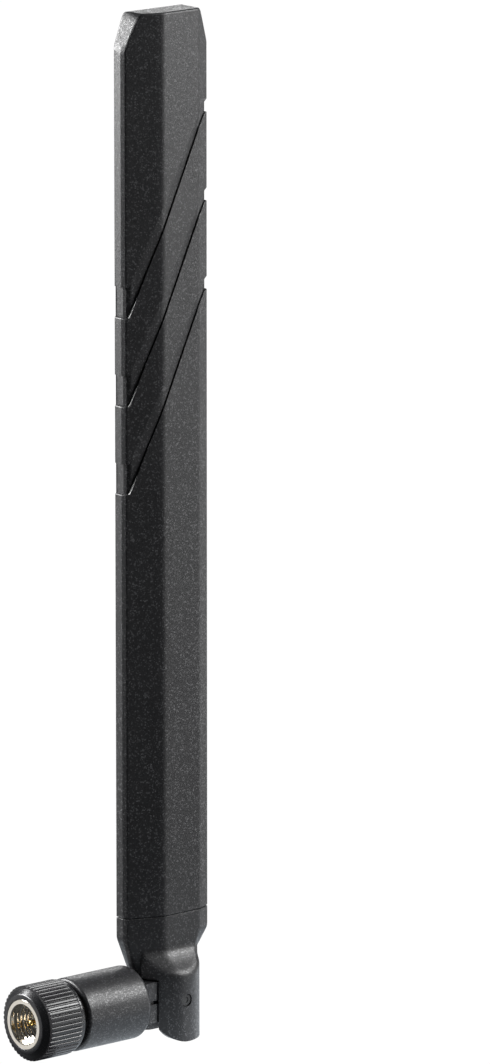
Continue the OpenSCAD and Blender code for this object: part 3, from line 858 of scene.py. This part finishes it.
# The tenon that the radome is glued over
def buildTenon():
    sunk = 0.5  # how deep it starts inside the block
    bm = bmesh.new()
    hollowSection(bm, yokeShape["tenonGap"])
    raised = vertsOf(bmesh.ops.extrude_face_region(bm, geom=bm.faces[:])["geom"])
    bmesh.ops.translate(bm, vec=(0, 0, yokeShape["tenon"] + sunk), verts=raised)
    bmesh.ops.translate(bm, vec=(0, hingeY, seamZ - sunk), verts=bm.verts)
    return toMesh(bm, "tool")


def yokeWithTenon():
    yoke = carve(buildYoke(), [buildTenon()], "UNION")
    low, high = cornersOf("circuit_board")
    pocket = blockTool((low.x - 0.07, low.y - 0.1, low.z), (high.x + 0.02, high.y + 0.1, 40.0))
    carve(yoke, [pocket])
    return trimYoke(yoke)


yokeWithTenon()


def buildPins():
    r, lip = (pinHigh.z - pinLow.z) / 2, 0.12
    bm = bmesh.new()
    inner = cableSlot / 2 + 0.25
    for side in (-1, 1):
        profile = [
            (0.0, inner), (r - lip, inner), (r, inner + lip), (r, pinHigh.x - lip), (r - lip, pinHigh.x),
            (r * 0.45, pinHigh.x), (r * 0.38, pinHigh.x - 0.1), (0.0, pinHigh.x - 0.1),
        ]
        turned(bm, profile, axis=(side, 0, 0), centre=(0, hingeY, 0), steps=40, closed=False)
    pins = toMesh(bm, "hingePins")
    return finishPiece(pins, "blade", finishes["pin_plastic"], ["hinge_pins"])


buildPins()
print("yoke built")


# the round arm and its tongue
armShape = {
    "rim": 0.55, "rearRim": 0.9,         # rounding of the front and the rear edge
    "reach": 7.3,                        # from the rear face to the hinge
    "boreR": 3.25, "boreEnd": 19.15,     # the bore that turns on the plug's spigot
    "clipR": 3.8, "clipY": (13.65, 14.45),
    "cableBoreR": 1.2,
    "tongueH": 6.6, "tongueW": 6.8,
    "gapFront": 5.0,                     # the cable's opening starts this far before the hinge
    "pinHoleR": 1.1,
    "slit": 0.6, "slitDepth": 0.5, "slitLength": 3.4,
}


def buildArm():
    r, front = armHigh.x, armLow.y
    tongueR = armShape["tongueH"] / 2
    rear = hingeY - armShape["reach"]
    bore, boreEnd, cableBore = armShape["boreR"], armShape["boreEnd"], armShape["cableBoreR"]
    clipR, (clipFront, clipRear) = armShape["clipR"], armShape["clipY"]
    bm = bmesh.new()
    turned(bm, roundProfile([
        (bore, front + 0.15), (bore + 0.15, front), (r, front, armShape["rim"]),
        (r, rear, armShape["rearRim"]), (cableBore, rear), (cableBore, boreEnd), (bore, boreEnd),
        (bore, clipRear), (clipR, clipRear), (clipR, clipFront), (bore, clipFront),
    ], steps=5), steps=128)
    arm = toMesh(bm, "armBody")
    half = armShape["tongueW"] / 2
    root, tip = rear - 1.5, hingeY + tongueR
    tongue = sidePlate([
        (root, -tongueR, 0), (tip, -tongueR, tongueR), (tip, tongueR, tongueR), (root, tongueR, 0),
    ], -half, half, segments=16)
    carve(arm, [tongue], "UNION")
    gapFront, slotHalf = hingeY - armShape["gapFront"], cableSlot / 2
    tools = [
        roundTool(slotHalf, (0, rear - 2.0, 0), (0, gapFront + 0.5, 0)),
        blockTool((-slotHalf, gapFront, -slotHalf), (slotHalf, hingeY + 9, 9)),
        roundTool(armShape["pinHoleR"], (-9, hingeY, 0), (9, hingeY, 0)),
    ]
    for side in (-1, 1):
        x = side * half
        deep, slit = armShape["slitDepth"], armShape["slit"] / 2
        tools.append(blockTool((x - deep, rear, -slit), (x + deep, rear + armShape["slitLength"], slit)))
    carve(arm, tools)
    softenEdges(arm, 0.22, sharpest=40.0)
    return finishPiece(arm, "arm", finishes["arm_plastic"], ["arm_body"], smoothTo=38.0)


buildArm()


# The cable through the hinge: straight out of the arm, then a quarter turn up into the blade
def buildCableBend():
    low, high = cornersOf("coax_bend")
    bendR = high.z
    start = low.y
    bm = bmesh.new()
    bmesh.ops.create_circle(bm, cap_ends=False, segments=20, radius=cableR,
                            matrix=Matrix.Translation((0, start, 0)) @ Matrix.Rotation(math.pi / 2, 4, "X"))
    firstEdges = edges = bm.edges[:]
    straightRings = 6
    for _ in range(straightRings):
        verts, edges = nextRing(bm, edges)
        bmesh.ops.translate(bm, vec=(0, (hingeY - bendR - start) / straightRings, 0), verts=verts)
    ends = bmesh.ops.spin(bm, geom=verts + edges, cent=(0, hingeY - bendR, bendR), axis=(1, 0, 0),
                          angle=math.pi / 2, steps=24)["geom_last"]
    bmesh.ops.contextual_create(bm, geom=firstEdges)
    bmesh.ops.contextual_create(bm, geom=[g for g in ends if isinstance(g, bmesh.types.BMEdge)])
    cable = toMesh(bm, "cableBend")
    finishPiece(cable, None, finishes["cable_jacket"], ["coax_bend"])
    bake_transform(cable, "arm", "blade", start=(0, (hingeY - bendR) * mm, 0), end=(0, hingeY * mm, bendR * mm))
    return cable


buildCableBend()
print("arm built")


# the fluted sleeve and the threaded insert that it is pressed on
gripShape = {
    "flutes": 46, "depth": 0.24,
    # share of that depth at each point of one flute
    "wave": [0.06, 0.0, 0.0, 0.0, 0.0, 0.06, 0.45, 1.0, 1.0, 0.45],
    "lipR": 4.82, "shoulderR": 5.62,     # the chamfer between the mouth and the ribs
    "fluteStart": 0.9, "fluteEnd": 7.5,
    "rimR": 5.75, "rearR": 3.45,         # the plain rim behind the ribs, and the hole behind the insert
}
nutShape = {
    "crestR": 2.85, "rootR": 3.2, "pitch": 0.7056, "turns": 4,
    "mouth": 1.0,                        # length of the plain lead-in
    "chamfer": (0.12, 0.16),             # at the mouth, outwards and inwards
    "reliefR": 3.4, "reliefEnd": 5.2, "runnerR": 2.7, "ringR": 3.1, "ringY": (5.7, 6.4),
}


def buildGrip():
    r, length = gripHigh.x, gripHigh.y
    wave = gripShape["wave"]
    around = gripShape["flutes"] * len(wave)
    start, end = gripShape["fluteStart"], gripShape["fluteEnd"]
    floorR = r - gripShape["depth"]
    lipR, shoulderR, rimR, rearR = (gripShape[k] for k in ("lipR", "shoulderR", "rimR", "rearR"))
    inner = nutHigh.x
    plain, ribbed = 0.0, 1.0  # how far the ribs stand at each ring
    rings = [
        (inner, 0.06, plain), (inner + 0.06, 0.0, plain), (lipR - 0.12, 0.0, plain),
        (lipR - 0.03, 0.03, plain), (lipR + 0.05, 0.12, plain),
        (shoulderR - 0.04, start - 0.09, plain), (shoulderR, start - 0.04, plain),
        (floorR - 0.03, start - 0.01, plain), (floorR + 0.02, start, plain),
        (r - 0.04, start + 0.01, 0.8), (r - 0.01, start + 0.04, 0.95), (r, start + 0.12, ribbed),
        (r, 3.2, ribbed), (r, 5.2, ribbed), (r, end - 0.5, ribbed),
        (r - 0.02, end - 0.3, 0.95), (r - 0.08, end - 0.14, 0.7), (rimR + 0.1, end - 0.04, 0.3),
        (rimR, end, plain), (rimR, length - 0.12, plain), (rimR - 0.04, length - 0.03, plain),
        (rimR - 0.14, length, plain), (rearR + 0.06, length, plain), (rearR, length - 0.06, plain),
        (rearR, nutHigh.y, plain), (inner, nutHigh.y, plain),
    ]
    bm = bmesh.new()
    bmesh.ops.create_circle(bm, cap_ends=False, segments=around, radius=1.0,
                            matrix=Matrix.Rotation(math.pi / 2, 4, "X"))
    order = bm.verts.layers.int.new("order")
    for v in bm.verts:
        v[order] = round(math.atan2(v.co.z, v.co.x) / (2 * math.pi) * around) % around
    verts, edges = bm.verts[:], bm.edges[:]
    firstEdges = edges
    for k, (radius, y, ribs) in enumerate(rings):
        if k:
            verts, edges = nextRing(bm, edges)
        for v in verts:
            angle = 2 * math.pi * v[order] / around
            deep = wave[v[order] % len(wave)] * gripShape["depth"] * ribs
            v.co = Vector(((radius - deep) * math.cos(angle), y, (radius - deep) * math.sin(angle)))
    bmesh.ops.bridge_loops(bm, edges=firstEdges + edges)
    bm.verts.layers.int.remove(order)
    grip = toMesh(bm, "gripSleeve")
    return finishPiece(grip, "nut", finishes["grip_plastic"], ["grip_sleeve"],
                       smoothTo=40.0)


# The thread is one helical sweep, squared off at both ends and carried out to the plain bores
def buildNut():
    crest, root, pitch, mouth = (nutShape[k] for k in ("crestR", "rootR", "pitch", "mouth"))
    threadEnd = mouth + nutShape["turns"] * pitch
    outer, rear = nutHigh.x, nutHigh.y
    bm = bmesh.new()
    shape = [(crest, 0.0), (crest, 0.10), (root, 0.45), (root, 0.57), (crest, 0.92), (crest, 1.0)]
    begin = mouth - 1.5 * pitch
    verts = [bm.verts.new((r, begin + t * pitch, 0)) for r, t in shape]
    edges = [bm.edges.new(pair) for pair in zip(verts, verts[1:])]
    perTurn, turns = 72, nutShape["turns"] + 2
    bmesh.ops.spin(bm, geom=verts + edges, cent=(0, 0, 0), axis=(0, 1, 0), dvec=(0, pitch / perTurn, 0),
                   angle=2 * math.pi * turns, steps=perTurn * turns)
    bmesh.ops.remove_doubles(bm, verts=bm.verts, dist=0.002)
    for y, side in ((mouth, -1), (threadEnd, 1)):
        bmesh.ops.bisect_plane(bm, geom=bm.verts[:] + bm.edges[:] + bm.faces[:], plane_co=(0, y, 0),
                               plane_no=(0, side, 0), clear_outer=True, dist=1e-5)

    def carryOn(edges, steps):
        for radius, y in steps:
            verts, edges = nextRing(bm, edges)
            for v in verts:
                flat = Vector((v.co.x, 0, v.co.z)).normalized() * radius
                v.co = Vector((flat.x, y, flat.z))
        return edges

    loose = openEdges(bm)
    front = [e for e in loose if all(abs(v.co.y - mouth) < 1e-3 for v in e.verts)]
    back = [e for e in loose if all(abs(v.co.y - threadEnd) < 1e-3 for v in e.verts)]
    outwards, inwards = nutShape["chamfer"]
    front = carryOn(front, [
        (root, mouth), (root, inwards), (root + outwards, 0.0), (outer - 0.06, 0.0), (outer, 0.06),
        (outer, rear - 0.1), (outer - 0.1, rear),
    ])
    runner, relief, reliefEnd = nutShape["runnerR"], nutShape["reliefR"], nutShape["reliefEnd"]
    ringR, (ringFront, ringRear) = nutShape["ringR"], nutShape["ringY"]
    back = carryOn(back, [
        (relief, threadEnd), (relief, reliefEnd), (runner, reliefEnd), (runner, ringFront),
        (ringR, ringFront), (ringR, ringRear), (runner, ringRear), (runner, rear),
    ])
    bmesh.ops.bridge_loops(bm, edges=front + back)
    nut = toMesh(bm, "couplingNut")
    return finishPiece(nut, "nut", finishes["nickel"], ["coupling_nut"])


buildGrip()
buildNut()
print("coupling nut built")


# the turned body of the plug, its insulator and its contact
plugShape = {
    "tubeR": 2.6,
    "grooveR": 2.35, "grooveY": (5.7, 6.4),       # for the ring that keeps the nut on
    "runnerR": 2.65,
    "shoulderR": 4.4, "shoulderY": (8.15, 8.65),
    "spigotR": 3.2, "spigotEnd": 15.15,
    "clipR": 2.6, "clipY": (13.65, 14.45),        # for the clip that keeps the arm on
    "barrelR": 0.8,                               # the braid is crimped on it
    "boreR": 2.06, "wireR": 0.5, "break": 0.08,
}
contactShape = {
    "tipR": 0.457,
    # share of that radius at each distance behind the tip
    "point": [(0.0, 0.0), (0.40, 0.015), (0.74, 0.08), (0.94, 0.2), (1.0, 0.36)],
    "wireR": 0.15, "wireDeep": 2.0,
}


def buildPlug():
    low, high = cornersOf("connector_body")
    face, end = low.y, high.y
    edge, insulatorEnd = plugShape["break"], cornersOf("insulator")[1].y
    tube, groove, runner, shoulder = (plugShape[k] for k in ("tubeR", "grooveR", "runnerR", "shoulderR"))
    spigot, clip, barrel = (plugShape[k] for k in ("spigotR", "clipR", "barrelR"))
    bore, wire, spigotEnd = (plugShape[k] for k in ("boreR", "wireR", "spigotEnd"))
    grooveFront, grooveRear = plugShape["grooveY"]
    shoulderFront, shoulderRear = plugShape["shoulderY"]
    clipFront, clipRear = plugShape["clipY"]
    bm = bmesh.new()
    turned(bm, [
        (bore, face + edge), (bore + edge, face), (tube - edge, face), (tube, face + edge),
        (tube, grooveFront), (groove, grooveFront), (groove, grooveRear), (runner, grooveRear),
        (runner, shoulderFront), (shoulder - edge, shoulderFront), (shoulder, shoulderFront + edge),
        (shoulder, shoulderRear - edge), (shoulder - edge, shoulderRear), (spigot, shoulderRear),
        (spigot, clipFront), (clip, clipFront), (clip, clipRear), (spigot, clipRear),
        (spigot, spigotEnd - edge), (spigot - edge, spigotEnd), (barrel, spigotEnd), (barrel, end - 0.05),
        (barrel - 0.05, end), (wire, end), (wire, insulatorEnd), (bore, insulatorEnd),
    ], steps=96)
    body = toMesh(bm, "plugBody")
    finishPiece(body, "plug", finishes["nickel"], ["connector_body"])


def buildInsulator():
    low, high = cornersOf("insulator")
    contact = cornersOf("centre_contact")[1]
    r, hole, wire = high.x, contact.x, plugShape["wireR"]
    bm = bmesh.new()
    turned(bm, [
        (hole, low.y + 0.05), (hole + 0.05, low.y), (r - 0.1, low.y), (r, low.y + 0.1), (r, high.y),
        (wire, high.y), (wire, contact.y), (hole, contact.y),
    ], steps=64)
    insulator = toMesh(bm, "plugInsulator")
    finishPiece(insulator, "plug", finishes["ptfe"], ["insulator"])


def buildContact():
    low, high = cornersOf("centre_contact")
    tip, wire, wireFront = contactShape["tipR"], contactShape["wireR"], high.y - contactShape["wireDeep"]
    face = cornersOf("connector_body")[0].y
    bm = bmesh.new()
    turned(bm, [(tip * share, low.y + distance) for share, distance in contactShape["point"]] + [
        (tip, face), (high.x, face), (high.x, high.y), (wire, high.y), (wire, wireFront), (0.0, wireFront),
    ], steps=40, closed=False)
    contact = toMesh(bm, "centreContact")
    finishPiece(contact, "plug", finishes["gold"], ["centre_contact"])


buildPlug()
buildInsulator()
buildContact()

# the solids whose own shape is right keep it and take a finish
kept = {
    "nut_snap_ring": "spring_steel", "swivel_clip": "spring_steel", "crimp_ferrule": "nickel",
    "coax_jacket_lower": "cable_jacket", "coax_jacket_upper": "cable_jacket",
    "coax_braid_lower": "tinned_copper", "coax_braid_upper": "tinned_copper",
    "coax_dielectric_lower": "ptfe", "coax_dielectric_upper": "ptfe",
    "coax_conductor_lower": "silvered_wire", "coax_conductor_upper": "silvered_wire",
    "circuit_board": "board", "lower_element": "copper", "upper_element": "copper",
    "solder_ground": "solder", "solder_signal": "solder", "foam_pads": "foam",
}
for name, slotName in kept.items():
    node = frame["nodes"][name]
    node.data.materials.clear()
    node.data.materials.append(finishes[slotName])
print("plug and inner pieces built")


# the studio: white sheets, soft panels, the pale table's bounce and a faint sky
studio = {
    "white": 1.02,                        # how bright the floor and the backdrop look
    "floorHeight": -0.160,                # low enough for the blade when the arm hangs it down
    "sheetR": 6.0,
    "sky": (0.92, 0.96, 1.0, 1.0), "skyBrightness": 0.10,
    "bounce": (0.86, 0.93, 1.0), "bounceBrightness": 1.1,  # the slightly blue light from below the arm
    "bounceSize": (0.06, 0.08), "bouncePlace": (-0.005, 0.046),
}


def glowMaterial(name, strength):  # seen from above only, and clear from below
    material = bpy.data.materials.new(name)
    material.use_nodes = True
    tree = material.node_tree
    tree.nodes.clear()
    glow = tree.nodes.new("ShaderNodeEmission")
    glow.inputs["Strength"].default_value = strength
    clear = tree.nodes.new("ShaderNodeBsdfTransparent")
    mix = tree.nodes.new("ShaderNodeMixShader")
    side = tree.nodes.new("ShaderNodeNewGeometry")
    out = tree.nodes.new("ShaderNodeOutputMaterial")
    tree.links.new(side.outputs["Backfacing"], mix.inputs[0])
    tree.links.new(glow.outputs[0], mix.inputs[1])
    tree.links.new(clear.outputs[0], mix.inputs[2])
    tree.links.new(mix.outputs[0], out.inputs["Surface"])
    return material


def addSheet(name, height, seen):
    bm = bmesh.new()
    bmesh.ops.create_circle(bm, cap_ends=True, segments=96, radius=studio["sheetR"])
    bmesh.ops.translate(bm, vec=(0, 0, height), verts=bm.verts)
    mesh = bpy.data.meshes.new(name)
    bm.to_mesh(mesh)
    bm.free()
    sheet = bpy.data.objects.new(name, mesh)
    sheet.data.materials.append(glowMaterial(name, studio["white"]))
    scene.collection.objects.link(sheet)
    sheet.visible_camera = seen
    sheet.visible_diffuse = False
    sheet.visible_glossy = False


def addFloor():
    addSheet("studioFloor", studio["floorHeight"], True)
    addSheet("tableShade", yokeLow.z * mm - 0.0015, False)  # keeps the low panels' light off the underside


# Each panel: degrees round from +X, degrees of rise, distance, width, height, brightness, and how far above
# the middle of the part it aims
panels = {
    "leftTable": (221.0, -9.0, 0.80, 0.60, 0.42, 0.85, 0.0),
    "leftWindow": (221.0, 4.0, 0.35, 0.25, 0.20, 26.0, 0.125),
    "rightTable": (42.0, -8.0, 0.80, 0.50, 0.30, 2.0, 0.0),
    "rightWindow": (44.0, 4.0, 0.35, 0.22, 0.16, 9.4, 0.12),
    "rightLamp": (48.0, 36.0, 0.80, 0.50, 0.30, 8.5, 0.0),
    "sideTable": (87.0, -8.0, 0.80, 0.40, 0.40, 1.3, 0.0),
    "backCard": (141.0, 13.0, 0.80, 0.30, 0.30, 2.6, 0.0),
    "topCard": (150.0, 70.0, 0.80, 0.50, 0.50, 0.6, 0.0),
}


def addPanel(name, turn, rise, distance, width, height, brightness, lift):
    data = bpy.data.lights.new(name, "AREA")
    data.shape = "RECTANGLE"
    data.size, data.size_y = width, height
    data.energy = brightness * width * height * math.pi
    turn, rise = math.radians(turn), math.radians(rise)
    away = Vector((math.cos(turn) * math.cos(rise), math.sin(turn) * math.cos(rise), math.sin(rise)))
    target = Vector((0, hingeY * mm, (topZ + yokeLow.z) / 2 * mm + lift))
    light = bpy.data.objects.new(name, data)
    light.location = target + away * distance
    light.rotation_euler = away.to_track_quat("Z", "Y").to_euler()
    light.visible_camera = False
    scene.collection.objects.link(light)


for name, values in panels.items():
    addPanel(name, *values)


def addBounce():
    data = bpy.data.lights.new("tableBounce", "AREA")
    data.shape = "RECTANGLE"
    data.size, data.size_y = studio["bounceSize"]
    data.energy = studio["bounceBrightness"] * data.size * data.size_y * math.pi
    data.color = studio["bounce"]
    light = bpy.data.objects.new("tableBounce", data)
    light.location = (*studio["bouncePlace"], yokeLow.z * mm - 0.001)
    light.rotation_euler = (math.pi, 0, 0)
    light.visible_camera = False
    scene.collection.objects.link(light)


def addWorld():
    world = bpy.data.worlds.new("studioWorld")
    world.use_nodes = True
    tree = world.node_tree
    tree.nodes.clear()
    path = tree.nodes.new("ShaderNodeLightPath")
    seen = tree.nodes.new("ShaderNodeBackground")
    seen.inputs["Color"].default_value = (1.0, 1.0, 1.0, 1.0)
    seen.inputs["Strength"].default_value = studio["white"]
    lit = tree.nodes.new("ShaderNodeBackground")
    lit.inputs["Color"].default_value = studio["sky"]
    lit.inputs["Strength"].default_value = studio["skyBrightness"]
    mix = tree.nodes.new("ShaderNodeMixShader")
    out = tree.nodes.new("ShaderNodeOutputWorld")
    tree.links.new(path.outputs["Is Camera Ray"], mix.inputs[0])
    tree.links.new(lit.outputs[0], mix.inputs[1])
    tree.links.new(seen.outputs[0], mix.inputs[2])
    tree.links.new(mix.outputs[0], out.inputs["Surface"])
    scene.world = world


addFloor()
addBounce()
addWorld()
scene.view_settings.view_transform = "Standard"
print("studio ready")
